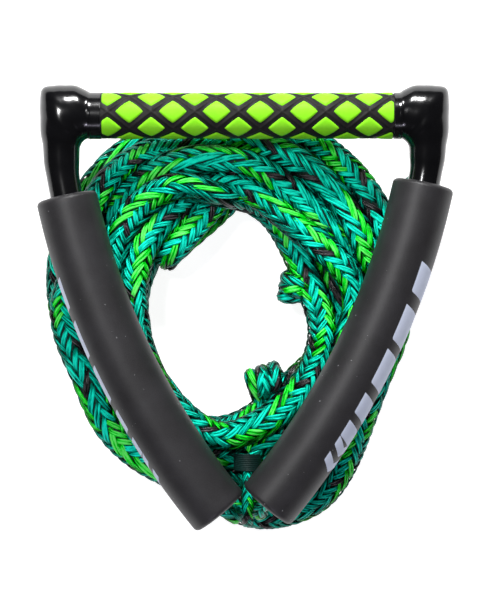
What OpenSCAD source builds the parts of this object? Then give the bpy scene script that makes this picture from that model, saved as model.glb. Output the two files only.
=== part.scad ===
// Wakesurf tow rope handle lying on its own coiled rope.
// The handle is a rubber-gripped bar on a rope bridle, with a curved foam float on each leg.
// Frame: floor at z = 0, +X along the bar to the right, +Y from the coil towards the bar.

/* [Handle] */
// Height of the handle's centre plane above the floor
handle_z = 67.8; // [67.8:0.1:75]
// Distance of the bar's axis from the coil's centre line
bar_y = 126; // [124:1:130]
// Left end of the grip sleeve
grip_left = -88.7; // [-90:0.1:-86]
// Right end of the grip sleeve
grip_right = 92.4; // [88:0.1:92.8]
// Outer diameter of the grip and of the collars beside it
grip_d = 29; // [28:0.5:32]
// Outer diameter of the aluminium bar
bar_d = 22; // [20:0.5:24]
// Wall of the aluminium bar
bar_wall = 2; // [1.5:0.1:2.5]

/* [Bridle] */
// Diameter of the rope that runs through the bar and both legs
bridle_d = 9; // [8:0.5:10]
// Bend radius of the bridle inside each moulded elbow
elbow_r = 20; // [20:1:24]
// Outer diameter of a boot where it enters its float
boot_end_d = 20; // [18:0.5:20]
// Outer diameter of a boot below its elbow
boot_leg_d = 23; // [22:0.5:24]
// Widest section of a boot, at the middle of its elbow
boot_elbow_d = 34; // [30:1:36]

/* [Floats] */
// Outer diameter of a foam float
float_d = 38; // [36:0.5:38]
// Bore of a foam float
float_bore = 21.4; // [21.2:0.1:23]
// Length of the left float along its curved axis
float_len = 221; // [215:1:223]
// How much longer the right float is, which is less squeezed
right_float_extra = 4.5; // [0:0.5:5]
// Radius of a float's curved axis
float_r = 460; // [440:1:520]
// Chamfer of a float's outer rim
float_rim = 4; // [3:0.5:5]

/* [Rope] */
// Width of the flattened main rope
rope_d = 17; // [15:0.5:18]
// Thickness of the coil from the floor up
coil_h = 48; // [40:1:48]
// Thickness of the coil from its hole to its outside
coil_w = 65; // [60:1:68]
// Radius of the coil's middle line at its round ends
coil_r = 81.5; // [78:0.5:84]
// Length of the coil's straight flanks
coil_flank = 38; // [30:1:44]
// Diameter of the rope in the splice eye at the bridle
eye_d = 8; // [7:0.5:8]
// Diameter of the rope in the boat-end loop
tow_d = 10; // [9:0.5:10.5]

/* [Hidden] */
$fn = 64;
gap = 0.05;

// Each leg is described by its float's upper end, its lean there and its float's length, on the +X side.
left_leg = [[110.5, 76.5], 12.2, float_len];
right_leg = [[111.2, 84.4], 12.05, float_len + right_float_extra];

// Bar, end caps and boots.
elbow_y = bar_y - elbow_r;
left_collar_w = 8;
right_collar_w = 4.7;
cap_spigot = 12;
cap_bore = bridle_d + 1.5;
boot_bore = bridle_d + 1;
boot_in_float = 16;
boot_sides = 24;
neck_d = 28;
// Rings of a boot's elbow: angle from the leg, distance from the bend's centre, share of the widest section.
elbow_rings = [
    [68, 26.1, 0.93], [55, 27.3, 1.03], [42, 26.6, 0.98], [30, 23.2, 0.82], [15, 21.1, 0.75], [0, 20.4, 0.72]
];
// Rings of a boot's leg: share of the lean, and share of the taper.
leg_rings = [[0.3, 0.3], [0.6, 0.85], [1, 1]];

// Grip pads: staggered diamonds on a cylinder.
pad_rows = 8;
pad_pitch = 26.8;
pad_size = [18.9, 17.4];
pad_proud = 0.8;
pad_phase = -70.8;
pad_turn = -6.3;
pad_margin = 0.8;
pads_a_row = 8;

// The bridle's free bight between the floats' lower ends, from the left bore to the right.
// It hangs in a U whose lowest point is the handle's hinge.
bight_start = 10;
hinge_at = [2, -120.5, 35];
bight_route = [
    [-17, -116.3, 67], [-12.4, -119.4, 63.6], [-6, -124.4, 56.5], [-6.4, -123.8, 48],
    [-6.6, -121.4, 41], [-3, -120.5, 36.3], hinge_at, [7, -120.5, 36.3],
    [10.4, -120.5, 41], [10.9, -121.7, 48], [9, -121.5, 56], [11.8, -115.7, 63.2], [15.5, -112.4, 66.8]
];
leg_steps = 9;
splice_gap = 0.2;

// The main rope's splice eye goes round the bight, upright, and its two legs close at the throat.
eye_r = 8.9;
throat_y = -97;
throat_half = eye_d / 2 + 0.1;
whip_len = 12;
whip_d = 18;

// The lead runs from the whipping into the coil, and the tail from the coil to the boat-end loop.
lead_route = [[2, -85, 35], [4, -80, 34.5], [9, -77, 34], [16, -75.5, 33], [25, -73, 32]];
tail_route = [[90, -4, 11], [96, 6, 10.5], [100.5, 17, 10], [103.5, 27, 9.5], [105, 36, 9.2]];
tow_at = [110.2, 54];
tow_len = 36;
tow_half = 6.6;
tow_turn = -6;
tow_whip_len = 12;

// A bight of the main rope lies in the coil's hole, and two knots stand into it.
bight_in_hole = [[-12, 68, 38], [-21, 58, 37], [-30, 47, 36], [-38, 38, 35], [-44, 31, 34]];
knot_d = 28;
upper_knot = [31, 20, 26];
lower_knot = [20, -44, 26];

// The coil stands as an oval ring, turned a little, with a pocket for the splice.
coil_at = [-8.4, 0];
coil_turn = 8;
coil_round = 22;
pocket = [[-14, -150, 28.5], [32, 37.5, 60]];

// Sides of a swept tube.
tube_sides = 10;

// --- Small helpers -----------------------------------------------------------

function unit(v) = v / norm(v);

function leg_r(leg) = (elbow_y - leg[0][1]) / sin(leg[1]);

function leg_x(leg) = leg[0][0] + leg_r(leg) * (1 - cos(leg[1]));

function float_sweep(leg) = leg[2] / float_r * 180 / PI;

function float_centre(leg) = leg[0] + float_r * [-cos(leg[1]), sin(leg[1])];

// A point on a leg's curved axis, the given length below the float's upper end.
function float_point(leg, s) =
    let (lean = leg[1] + s / float_r * 180 / PI)
        float_centre(leg) + float_r * [cos(lean), -sin(lean)];

module arc(centre, radius, from, to)
    translate([centre[0], centre[1], handle_z])
        rotate([0, 0, from])
            rotate_extrude(angle = to - from, $fn = 256)
                translate([radius, 0])
                    children();

// A round tube swept along a list of points and closed at both ends, its rings carried along without twist.
module sweep(path, d) {
    n = len(path);
    function tangent(i) = unit(path[min(i + 1, n - 1)] - path[max(i - 1, 0)]);
    function carry(u, i) = unit(u - (u * tangent(i)) * tangent(i));
    function sides(done, i) = i == n ? done : sides(concat(done, [carry(done[i - 1], i)]), i + 1);
    side = sides([carry([0, 0, 1], 0)], 1);
    points = [
        for (i = [0:n - 1], k = [0:tube_sides - 1])
            let (a = 360 * k / tube_sides)
                path[i] + d / 2 * (cos(a) * side[i] + sin(a) * cross(tangent(i), side[i]))
    ];
    walls = [
        for (i = [0:n - 2], k = [0:tube_sides - 1])
            let (a = i * tube_sides + k, b = i * tube_sides + (k + 1) % tube_sides)
                [a, a + tube_sides, b + tube_sides, b]
    ];
    first = [for (k = [0:tube_sides - 1]) k];
    last = [for (k = [tube_sides - 1:-1:0]) (n - 1) * tube_sides + k];
    polyhedron(points = points, faces = concat(walls, [first, last]), convexity = 8);
}

// --- Bar and grip ------------------------------------------------------------

// A cylinder along the bar's axis.
module along_bar(from, to, d)
    translate([from, bar_y, handle_z])
        rotate([0, 90, 0])
            cylinder(h = to - from, d = d);

module bar_tube()
    color([0.75, 0.76, 0.78])
        difference() {
            along_bar(grip_left, grip_right, bar_d);
            along_bar(grip_left - 1, grip_right + 1, bar_d - 2 * bar_wall);
        }

// A flanged bush in the bar's end; its spigot points towards the bar's middle.
module end_cap(face, collar_w)
    color([0.06, 0.06, 0.06])
        difference() {
            union() {
                along_bar(face + gap, face + collar_w, grip_d);
                along_bar(face - cap_spigot, face + collar_w, bar_d - 2 * bar_wall - 2 * gap);
            }
            along_bar(face - cap_spigot - 1, face + collar_w + 1, cap_bore);
        }

module end_cap_left() mirror([1, 0, 0]) end_cap(-grip_left, left_collar_w);

module end_cap_right() end_cap(grip_right, right_collar_w);

module grip_sleeve()
    color([0.14, 0.13, 0.13])
        difference() {
            along_bar(grip_left + gap, grip_right - gap, grip_d - 2 * pad_proud);
            along_bar(grip_left - 1, grip_right + 1, bar_d + 2 * gap);
        }

module diamond(size)
    polygon([[-size[0] / 2, 0], [0, -size[1] / 2], [size[0] / 2, 0], [0, size[1] / 2]]);

module grip_pads()
    color([0.5, 0.88, 0.17])
        for (row = [0:pad_rows - 1])
            intersection() {
                difference() {
                    along_bar(grip_left + pad_margin, grip_right - pad_margin, grip_d);
                    along_bar(grip_left - 1, grip_right + 1, grip_d - 2 * pad_proud);
                }
                translate([0, bar_y, handle_z])
                    rotate([pad_turn + row * 360 / pad_rows, 0, 0])
                        for (k = [-1:pads_a_row - 1])
                            translate([pad_phase + (k + (row % 2) / 2) * pad_pitch, 0, grip_d / 4])
                                linear_extrude(grip_d / 2)
                                    diamond(pad_size);
            }

// --- Boots, bridle and floats, each drawn on the +X side -----------------------

// Points on a leg's axis: round the elbow, down to the float, and along inside it.
function on_elbow(leg, a, r) = [leg_x(leg) - elbow_r + r * cos(a), elbow_y + r * sin(a)];

function on_leg(leg, lean) = [leg_x(leg) - leg_r(leg) * (1 - cos(lean)), elbow_y - leg_r(leg) * sin(lean)];

function flat(points) = [for (p = points) [p[0], p[1], handle_z]];

// A ring of points round a centre, square to a heading in the handle's plane.
function ring(centre, heading, d) = [
    for (k = [0:boot_sides - 1])
        let (a = 360 * k / boot_sides, out = d / 2 * cos(a))
            [centre[0] - out * sin(heading), centre[1] + out * cos(heading), handle_z + d / 2 * sin(a)]
];

// A closed shell between outer rings and inner rings, which share their planes.
module shell(outer, inner) {
    n = len(outer);
    m = boot_sides;
    function at(row, i, k) = (row * n + i) * m + k % m;
    points = [for (rings = [outer, inner], one = rings, p = one) p];
    walls = [
        for (i = [0:n - 2], k = [0:m - 1])
            each [
                [at(0, i, k), at(0, i, k + 1), at(0, i + 1, k + 1), at(0, i + 1, k)],
                [at(1, i, k), at(1, i + 1, k), at(1, i + 1, k + 1), at(1, i, k + 1)]
            ]
    ];
    ends = [
        for (k = [0:m - 1])
            each [
                [at(0, 0, k), at(1, 0, k), at(1, 0, k + 1), at(0, 0, k + 1)],
                [at(0, n - 1, k), at(0, n - 1, k + 1), at(1, n - 1, k + 1), at(1, n - 1, k)]
            ]
    ];
    polyhedron(points = points, faces = concat(walls, ends), convexity = 8);
}

module boot(leg, face)
    color([0.05, 0.05, 0.05]) {
        lean = leg[1];
        turn = 180 / PI / float_r;
        // Each station: outer centre, inner centre, heading, outer diameter.
        stations = concat(
            [[[face, bar_y], [face, bar_y - 0.2], 0, neck_d]],
            [for (r = elbow_rings)
                [on_elbow(leg, r[0], r[1]), on_elbow(leg, r[0], elbow_r), r[0] - 90, r[2] * boot_elbow_d]],
            [for (r = leg_rings)
                [on_leg(leg, lean * r[0]), on_leg(leg, lean * r[0]), -90 - lean * r[0],
                    boot_leg_d + r[1] * (boot_end_d - boot_leg_d)]],
            [for (s = [0.5, 1] * boot_in_float)
                [float_point(leg, s), float_point(leg, s), -90 - lean - s * turn, boot_end_d]]
        );
        shell(
            [for (s = stations) ring(s[0], s[2], s[3])],
            [for (s = stations) ring(s[1], s[2], boot_bore)]
        );
    }

module boot_left() mirror([1, 0, 0]) boot(left_leg, -grip_left + left_collar_w + gap);

module boot_right() boot(right_leg, grip_right + right_collar_w + gap);

// One half of the bridle's axis, from the middle of the bar to just inside the float's lower end.
function bridle_half(leg) = flat(concat(
    [[splice_gap, bar_y], [leg_x(leg) - elbow_r - 8, bar_y]],
    [for (a = [90:-15:15]) on_elbow(leg, a, elbow_r)],
    [for (t = [0, 0.5]) on_leg(leg, leg[1] * t)],
    [for (k = [0:leg_steps]) float_point(leg, k / leg_steps * (leg[2] - bight_start))]
));

function mirrored(points) = [for (p = points) [-p[0], p[1], p[2]]];

function reversed(points) = [for (i = [len(points) - 1:-1:0]) points[i]];

module bridle_rope()
    color([0.06, 0.62, 0.55])
        sweep(
            concat(mirrored(bridle_half(left_leg)), bight_route, reversed(bridle_half(right_leg))),
            bridle_d
        );

module foam(leg)
    color([0.17, 0.17, 0.19])
        difference() {
            arc(float_centre(leg), float_r, -leg[1] - float_sweep(leg), -leg[1])
                difference() {
                    circle(d = float_d);
                    circle(d = float_bore);
                }
            for (end = [0, 1])
                translate(concat(float_point(leg, end * leg[2]), handle_z))
                    rotate([0, 0, -leg[1] - end * float_sweep(leg)])
                        rotate([end == 0 ? 90 : -90, 0, 0])
                            rim_cut();
        }

// What a chamfer takes off a float's end; it stands on the end's face and points into the float.
module rim_cut()
    rotate_extrude()
        polygon([
            [float_d / 2 - float_rim - 1, -1], [float_d / 2 + 1, -1], [float_d / 2 + 1, float_rim + 1]
        ]);

module float_left() mirror([1, 0, 0]) foam(left_leg);

module float_right() foam(right_leg);

// --- Main rope -----------------------------------------------------------------

// A flat loop of rope: a half ring, two straight legs and a closing half ring.
module rope_loop(half, length, d) {
    for (end = [0, 1])
        translate([0, end * length, 0])
            rotate([0, 0, end * 180])
                mirror([0, 1, 0])
                    rotate_extrude(angle = 180)
                        translate([half, 0])
                            circle(d = d);
    for (side = [-1, 1])
        translate([side * half, 0, 0])
            rotate([-90, 0, 0])
                cylinder(h = length, d = d);
}

// The eye's path: from the throat over the bight, round it, and back under it.
function eye_path() = [
    for (p = concat(
        [[throat_y, throat_half], [throat_y - 7, throat_half + 2]],
        [for (a = [75:21:285]) [hinge_at[1] + eye_r * cos(a), eye_r * sin(a)]],
        [[throat_y - 7, -throat_half - 2], [throat_y, -throat_half]]
    )) [hinge_at[0], p[0], hinge_at[2] + p[1]]
];

module rope_eye() color([0.08, 0.7, 0.5]) sweep(eye_path(), eye_d);

module eye_whipping()
    color([0.05, 0.35, 0.32])
        translate([hinge_at[0], throat_y + gap, hinge_at[2]])
            rotate([-90, 0, 0])
                cylinder(h = whip_len - 2 * gap, d = whip_d);

module rope_lead() color([0.06, 0.62, 0.55]) sweep(lead_route, rope_d);

module coil_section()
    intersection() {
        union() {
            for (side = [-1, 1])
                translate([side * (coil_w / 2 - coil_round), coil_round + 1]) circle(r = coil_round);
            for (side = [-1, 1])
                translate([side * (coil_w / 2 - coil_round), coil_h - coil_round]) circle(r = coil_round);
            translate([-coil_w / 2 + coil_round, 0]) square([coil_w - 2 * coil_round, coil_h]);
            translate([-coil_w / 2, coil_round]) square([coil_w, coil_h - 2 * coil_round + 1]);
        }
        translate([-coil_w / 2, 0]) square([coil_w, coil_h]);
    }

module rope_coil()
    color([0.05, 0.55, 0.49])
        difference() {
            translate([coil_at[0], coil_at[1], 0])
                rotate([0, 0, coil_turn]) {
                    for (end = [0, 180])
                        rotate([0, 0, end])
                            translate([0, coil_flank / 2, 0])
                                rotate_extrude(angle = 180, $fn = 128)
                                    translate([coil_r, 0])
                                        coil_section();
                    for (side = [-1, 1])
                        translate([side * coil_r, coil_flank / 2, 0])
                            rotate([90, 0, 0])
                                linear_extrude(coil_flank)
                                    coil_section();
                }
            translate(pocket[0]) cube(pocket[1]);
        }

module rope_knot_upper()
    color([0.1, 0.75, 0.4])
        translate(upper_knot)
            sphere(d = knot_d);

module rope_knot_lower()
    color([0.1, 0.75, 0.4])
        translate(lower_knot)
            sphere(d = knot_d);

module rope_bight()
    color([0.06, 0.62, 0.55])
        sweep(bight_in_hole, rope_d);

module rope_tail() color([0.06, 0.62, 0.55]) sweep(tail_route, rope_d);

// The whipping closes the loop's near end, where the tail goes in.
module tow_whipping()
    color([0.05, 0.35, 0.32])
        translate([tow_at[0], tow_at[1], whip_d / 2 + gap])
            rotate([90, 0, tow_turn])
                translate([0, 0, tow_half + tow_d / 2 - 2])
                    cylinder(h = tow_whip_len, d = whip_d);

module tow_loop()
    color([0.08, 0.7, 0.5])
        translate([tow_at[0], tow_at[1], tow_d / 2 + gap])
            rotate([0, 0, tow_turn])
                rope_loop(tow_half, tow_len, tow_d);

bar_tube();
end_cap_left();
end_cap_right();
grip_sleeve();
grip_pads();
boot_left();
boot_right();
bridle_rope();
float_left();
float_right();
rope_eye();
eye_whipping();
rope_lead();
rope_coil();
rope_knot_upper();
rope_knot_lower();
rope_bight();
rope_tail();
tow_whipping();
tow_loop();
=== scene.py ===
"""Looks of a wakesurf tow handle that lies on its own coiled rope. Metres, in the frame of the CAD."""

import math

import bpy
import numpy as np
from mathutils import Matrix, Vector


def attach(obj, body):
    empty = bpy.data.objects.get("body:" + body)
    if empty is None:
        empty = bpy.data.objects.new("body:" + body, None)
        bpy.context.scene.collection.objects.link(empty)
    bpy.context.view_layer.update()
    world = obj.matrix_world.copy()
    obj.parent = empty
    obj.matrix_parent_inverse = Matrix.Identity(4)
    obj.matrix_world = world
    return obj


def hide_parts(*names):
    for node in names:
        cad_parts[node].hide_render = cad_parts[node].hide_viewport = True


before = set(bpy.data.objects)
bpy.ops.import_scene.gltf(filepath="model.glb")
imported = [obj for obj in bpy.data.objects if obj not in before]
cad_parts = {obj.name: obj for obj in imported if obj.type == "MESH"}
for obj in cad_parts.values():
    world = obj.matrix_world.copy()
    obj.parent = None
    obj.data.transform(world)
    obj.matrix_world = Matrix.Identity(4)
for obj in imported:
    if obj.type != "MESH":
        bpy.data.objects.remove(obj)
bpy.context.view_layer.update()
MM = 0.001

# --- Sizes that the CAD has too, in millimetres ---------------------------------------

HANDLE_Z = 67.8
BAR_Y = 126
GRIP_ENDS = (-88.7, 92.4)
GRIP_D = 29
ELBOW_R = 20
ELBOW_Y = BAR_Y - ELBOW_R
LEG_RINGS = ((0.3, 0.3), (0.6, 0.85), (1, 1))
BOOT_LEG_D = 23
BOOT_END_D = 20
BOOT_IN_FLOAT = 16
FLOAT_D = 38
FLOAT_BORE = 21.4
FLOAT_R = 460
BRIDLE_D = 9
EYE_D = 8
TOW_D = 10
WHIP_D = 18
HINGE_AT = (2, -120.5, 35)
THROAT_Y = -97
COIL_AT = (-8.4, 0)
COIL_TURN = math.radians(8)
COIL_R = 81.5
COIL_FLANK = 38
COIL_W = 65
TOW_AT = (110.2, 54)
TOW_TURN = math.radians(-6)
REST_GAP = 0.05
# Each leg: the float's upper end, its lean in degrees and its length, the leg's side, the collar's outer
# face, and between which angles the float is printed, in degrees from straight up to the outer flank.
LEGS = {
    "left": {
        "top": (110.5, 76.5), "lean": 12.2, "length": 221, "side": -1, "face": 96.75, "print": (57, 118),
    },
    "right": {
        "top": (111.2, 84.4), "lean": 12.05, "length": 225.5, "side": 1, "face": 97.15, "print": (29, 94),
    },
}

# --- The main rope --------------------------------------------------------------------

ROPE_W = 19
ROPE_T = 15.5
ROPE_STEP = 1.7
# The length in which a carrier goes once round the rope.
LAY_LENGTH = 96
FLOOR_GAP = 0.2
# Points between two of a route's points, before they are spaced evenly.
CURVE_STEPS = 24
# Route points. Those of the upper turns and the fold are where they seem to be in the handle's plane.
LEAD = [(2, -85, 35), (4, -80, 34.5), (9, -77, 34), (16, -75.5, 33), (25, -73, 32)]
# The upper turns, each from the right flank over the top, the left flank and the bottom.
FIRST_TURN = [
    (44, -53, 36), (63, -34, 40), (77, -12, 41), (82, 8, 42), (75, 27, 43), (57, 43, 44),
    (36, 55, 44), (15, 70, 43), (-4, 80, 41), (-20, 79, 38), (-35, 69, 36), (-51, 64, 38),
    (-63, 52, 41), (-71, 35, 41), (-73, 17, 41), (-69, -4, 41), (-61, -27, 41), (-51, -46, 41),
    (-36, -62, 41), (-18, -73, 41), (0, -73, 41), (17, -63, 41), (32, -48, 41), (44, -30, 41),
    (49, -16, 38),
]
SECOND_TURN = [
    (48, 1, 32), (42, 16, 30), (35, 33, 29), (28, 48, 29), (19, 63, 30), (6, 75, 33),
    (-8, 77, 38), (-19, 80, 46), (-29, 87, 51), (-41, 94, 52), (-55, 95, 50), (-67, 87, 47),
    (-76, 73, 44), (-82, 57, 42), (-86, 41, 41), (-88, 24, 41), (-86, 2, 41), (-82, -19, 41), (-75, -39, 41),
    (-64, -58, 41), (-49, -73, 38), (-33, -85, 31), (-15, -90, 20), (3, -91, 14),
    (22, -85, 20), (41, -72, 30), (56, -53, 36),
]
THIRD_TURN = [
    (70, -30, 36), (78, -7, 32), (78, 15, 30), (70, 35, 31), (57, 52, 34), (44, 68, 39),
    (29, 80, 42), (13, 91, 43), (-3, 98, 43), (-18, 100, 43), (-34, 103, 45), (-51, 101, 46),
    (-66, 92, 45), (-78, 80, 43), (-91, 64, 41), (-102, 43, 38), (-112, 17, 36),
    (-113, -8, 35), (-104, -35, 34), (-93, -61, 34), (-76, -84, 33), (-54, -102, 31),
    (-29, -112, 26), (-8, -119, 18), (12, -127, 16), (31, -129, 20), (49, -119, 28),
    (62, -101, 34), (70, -80, 38),
]
FOURTH_TURN = [
    (77, -56, 38), (86, -32, 38), (93, -7, 38), (94, 18, 37), (91, 42, 36), (87, 60, 35),
    (81, 77, 36), (70, 91, 36), (56, 105, 36), (38, 116, 34), (16, 122, 32), (-6, 123, 30),
    (-28, 122, 30), (-47, 118, 30), (-65, 112, 30), (-82, 105, 30), (-96, 93, 30), (-107, 77, 29),
    (-113, 56, 25), (-114, 33, 21), (-113, 11, 20), (-109, -14, 20), (-101, -42, 20),
    (-88, -66, 19), (-71, -86, 18), (-49, -100, 13), (-24, -108, 9), (0, -112, 8),
    (25, -110, 10), (46, -99, 16), (62, -78, 22), (75, -53, 26), (84, -29, 28), (89, -4, 30),
    (87, 18, 35),
]
FIFTH_TURN = [
    (81, 32, 39), (72, 50, 42), (64, 69, 42), (54, 84, 42), (41, 97, 42), (24, 105, 40),
    (7, 110, 38), (-12, 112, 36), (-31, 112, 34), (-49, 110, 33), (-68, 101, 32),
    (-83, 87, 36), (-94, 71, 40), (-100, 49, 41), (-101, 24, 41), (-98, -1, 41),
    (-92, -25, 41), (-82, -49, 40), (-67, -69, 36), (-49, -86, 31), (-31, -97, 22),
    (-10, -104, 12), (10, -104, 9), (29, -99, 12), (47, -84, 20), (60, -66, 26), (67, -41, 24),
    (65, -16, 20),
]
# The sixth turn wanders into the coil's hole at the upper left.
SIXTH_TURN = [
    (62, 6, 18), (60, 28, 17), (50, 51, 16), (35, 69, 17), (17, 82, 19), (-3, 86, 20),
    (-22, 81, 20), (-39, 65, 21), (-53, 50, 22), (-63, 32, 23), (-69, 13, 24), (-71, -5, 22),
    (-68, -25, 22), (-58, -45, 22), (-43, -61, 24), (-26, -70, 28), (-9, -70, 30),
    (6, -62, 28), (21, -49, 26), (38, -30, 22),
]
# A bight folded in the coil's hole at the upper left: its upper leg, the fold, and its lower leg.
FOLD = [
    (12, 98, 27), (1, 91, 30), (-9, 83, 33), (-21, 70, 36), (-35, 54, 37), (-46, 42, 33), (-50, 37, 25),
    (-47, 40, 17), (-36, 50, 13), (-20, 64, 12), (-5, 79, 12), (7, 91, 12),
]
TAIL = [(90, -4, 11), (96, 6, 10.5), (101, 17, 10), (105, 27, 9.5), (107.6, 37, 9.1)]
# The turns on the floor run from inside the coil's middle line to outside it, and start higher than they lie.
LOWER_TURNS = 3
LOWER_STEPS = 20
LOWER_FROM = -0.02
LOWER_IN = -18
LOWER_OUT = 24
LOWER_Z = 9
LOWER_START = 7
# How soon these turns' round ends go over into their straight flanks.
FLANK_TURN = 6


def unit(v):
    return v / np.maximum(np.linalg.norm(v, axis=-1, keepdims=True), 1e-12)


def oval_point(angle, out):
    """A point beside the coil's middle line: angle in turns from the right flank, out in millimetres."""
    a = 2 * math.pi * angle - COIL_TURN
    x = (COIL_R + out) * math.cos(a)
    y = (COIL_R + out) * math.sin(a) + math.tanh(FLANK_TURN * math.sin(a)) * COIL_FLANK / 2
    c, s = math.cos(COIL_TURN), math.sin(COIL_TURN)
    return COIL_AT[0] + c * x - s * y, COIL_AT[1] + s * x + c * y


def lower_turns():
    """The turns on the floor: a flat spiral from the hole outwards."""
    points = []
    for i in range(LOWER_TURNS * LOWER_STEPS):
        turn = i / LOWER_STEPS
        x, y = oval_point(turn + LOWER_FROM, LOWER_IN + (LOWER_OUT - LOWER_IN) * turn / LOWER_TURNS)
        points.append((x, y, LOWER_Z + LOWER_START * max(0, 1 - 2 * turn)))
    return points


def distances(line):
    return np.concatenate([[0], np.cumsum(np.linalg.norm(np.diff(line, axis=0), axis=1))])


def evenly(line, step):
    gone = distances(line)
    at = np.linspace(0, gone[-1], max(2, round(gone[-1] / step) + 1))
    return np.column_stack([np.interp(at, gone, line[:, k]) for k in range(3)])


def with_ends(points):
    """The points, and one more before the first and after the last, straight on."""
    p = np.array(points, float)
    return np.vstack([2 * p[0] - p[1], p, 2 * p[-1] - p[-2]])


def smooth_line(points, step):
    """Points a step apart along a centripetal curve through the given ones."""
    p = with_ends(points)
    t = np.linspace(0, 1, CURVE_STEPS, endpoint=False)[:, None]
    out = []
    for a, b, c, d in zip(p, p[1:], p[2:], p[3:]):
        t0, t1 = 0, np.linalg.norm(b - a) ** 0.5
        t2 = t1 + np.linalg.norm(c - b) ** 0.5
        t3 = t2 + np.linalg.norm(d - c) ** 0.5
        u = t1 + t * (t2 - t1)
        a1 = (t1 - u) / (t1 - t0) * a + (u - t0) / (t1 - t0) * b
        a2 = (t2 - u) / (t2 - t1) * b + (u - t1) / (t2 - t1) * c
        a3 = (t3 - u) / (t3 - t2) * c + (u - t2) / (t3 - t2) * d
        b1 = (t2 - u) / (t2 - t0) * a1 + (u - t0) / (t2 - t0) * a2
        b2 = (t3 - u) / (t3 - t1) * a2 + (u - t1) / (t3 - t1) * a3
        out.append((t2 - u) / (t2 - t1) * b1 + (u - t1) / (t2 - t1) * b2)
    return evenly(np.vstack(out + [p[-2:-1]]), step)


def coil_distance(p):
    """How far points stand out from the coil's middle line, and the level direction outwards."""
    c, s = math.cos(COIL_TURN), math.sin(COIL_TURN)
    x = c * (p[:, 0] - COIL_AT[0]) + s * (p[:, 1] - COIL_AT[1])
    y = -s * (p[:, 0] - COIL_AT[0]) + c * (p[:, 1] - COIL_AT[1])
    over = y - np.clip(y, -COIL_FLANK / 2, COIL_FLANK / 2)
    r = np.hypot(x, over)
    way = np.column_stack([c * x - s * over, s * x + c * over, np.zeros(len(p))])
    return r - COIL_R, way / np.maximum(r, 1e-9)[:, None]


# Settling: how near two turns may lie, how far apart the line's nodes are, and how many rounds it takes.
REACH = 16.6
NODE_STEP = 7.5
SETTLE_ROUNDS = 320
EASE_ROUNDS = 4
# This many nodes at each end stay put, and nodes nearer along the rope than this don't push each other.
HELD_ENDS = 6
NEXT_NODES = 4
# The coil's top, and the height from which a node of the given route may stand above it.
COIL_TOP = 48.6
OVER_COIL = 43
# How strongly each round pushes turns apart, pulls them to the route, straightens them and keeps them in.
PUSH = 0.25
PULL = 0.02
PULL_UP = 0.6
STRAIGHTEN = 0.25
KEEP_IN = 0.7
# How far the rope's middle may lie outside and inside the coil's middle line.
OUTER = 29
INNER = 22
# How much the coil draws in at its lower left and lower right, and lets out at its bottom right.
DRAWN_LEFT = 15
DRAWN_RIGHT = 20
LET_OUT = 2


def between(v, low, high):
    return np.clip((v - low) / (high - low), 0, 1)


def drawn_in(p):
    """How far the coil's outline comes in at each point, in its lower half.

    Each share of it grows between two distances from the frame's middle, in millimetres.
    """
    x, y = p[:, 0], p[:, 1]
    left = DRAWN_LEFT * between(-x, -10, 30) * (1 + 0.4 * between(-y, 70, 100))
    right = DRAWN_RIGHT * between(x, 10, 60) * between(y, -118, -62)
    right -= LET_OUT * between(x, 5, 40) * between(-y, 90, 112)
    return between(-y, 0, 35) * (left + right)


def pushed_apart(p, i, j):
    """How far each node moves away from the nodes of other turns that are too near."""
    near = np.abs(p[i, 2] - p[j, 2]) < REACH
    a, b = i[near], j[near]
    d = p[a] - p[b]
    far = np.linalg.norm(d, axis=1)
    hit = far < REACH
    a, b, d, far = a[hit], b[hit], d[hit], far[hit]
    push = (REACH - far)[:, None] * d / np.maximum(far, 1e-6)[:, None] * PUSH
    move, count = np.zeros_like(p), np.ones(len(p))
    np.add.at(move, a, push)
    np.add.at(move, b, -push)
    np.add.at(count, a, 0.5)
    np.add.at(count, b, 0.5)
    return move / count[:, None] ** 0.5


def settle(line):
    """Pushes the rope's turns apart and inside the coil's shape, and keeps it smooth and near its route."""
    p, home = line.copy(), line.copy()
    free = np.ones(len(p))
    free[:HELD_ENDS] = 0
    free[-HELD_ENDS:] = 0
    i, j = np.triu_indices(len(p), NEXT_NODES)
    top = np.full(len(p), COIL_TOP - ROPE_T / 2)
    top = np.maximum(top, np.where(home[:, 2] > OVER_COIL, home[:, 2] + 1, top))
    # Nodes that the route puts further in than the rest may stay in the coil's hole.
    inside = np.minimum(coil_distance(home)[0], -INNER)
    for _ in range(SETTLE_ROUNDS):
        p += pushed_apart(p, i, j) * free[:, None]
        pull = PULL * (home - p)
        pull[:, 2] *= PULL_UP
        p += pull * free[:, None]
        bent = np.zeros_like(p)
        bent[1:-1] = (p[:-2] + p[2:]) / 2 - p[1:-1]
        p += STRAIGHTEN * bent * free[:, None]
        out, way = coil_distance(p)
        over = np.maximum(out - OUTER + drawn_in(p), 0) + np.minimum(out - inside, 0)
        p -= way * (over * KEEP_IN)[:, None] * free[:, None]
        p[:, 2] = np.where(free > 0, np.clip(p[:, 2], ROPE_T / 2 + FLOOR_GAP, top), p[:, 2])
    for _ in range(EASE_ROUNDS):
        p[1:-1] = (p[:-2] + 2 * p[1:-1] + p[2:]) / 4
    return p


def seen_from_above(route):
    """Puts points that were judged in the handle's plane where they stand at their own height."""
    x0, y0 = VIEW_CENTRE
    out = []
    for x, y, z in route:
        f = (EYE_ABOVE + HANDLE_Z - z) / EYE_ABOVE
        out.append((x0 + f * (x - x0), y0 + f * (y - y0), z))
    return out


def rope_line():
    turns = FIRST_TURN + SECOND_TURN + THIRD_TURN + FOURTH_TURN + FIFTH_TURN + SIXTH_TURN
    rough = smooth_line(LEAD + seen_from_above(turns) + lower_turns() + TAIL, NODE_STEP)
    return smooth_line(settle(rough), ROPE_STEP)


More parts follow.
